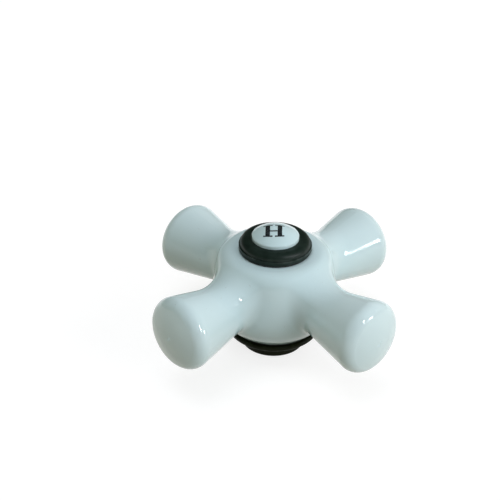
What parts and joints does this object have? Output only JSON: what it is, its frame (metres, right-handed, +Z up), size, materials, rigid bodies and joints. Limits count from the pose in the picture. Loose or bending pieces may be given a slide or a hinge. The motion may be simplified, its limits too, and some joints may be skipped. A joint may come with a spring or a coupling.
{
  "type": "cross tap handle",
  "caption": "Glazed porcelain cross handle with flared arms, a black stepped base and a black cap ring round a domed index button, for a splined tap stem.",
  "frame": {"origin": "centre of the base's underside, on the axis about which the handle turns the valve stem", "axes": "+Z up the handle's axis from the base to the button; the arms point along X and Y"},
  "size_m": [0.076, 0.076, 0.0357],
  "materials": {
    "white_glaze": "gloss",
    "black_metal": "satin black",
    "bright_screw": "plain",
    "black_rubber": "matt"
  },
  "bodies": {
    "root": {"porcelain_cross": "white_glaze", "index_button": "white_glaze", "stem_insert": "black_metal", "cap_ring": "black_metal", "handle_screw": "bright_screw", "lower_gasket": "black_rubber", "upper_gasket": "black_rubber"}
  },
  "joints": []
}
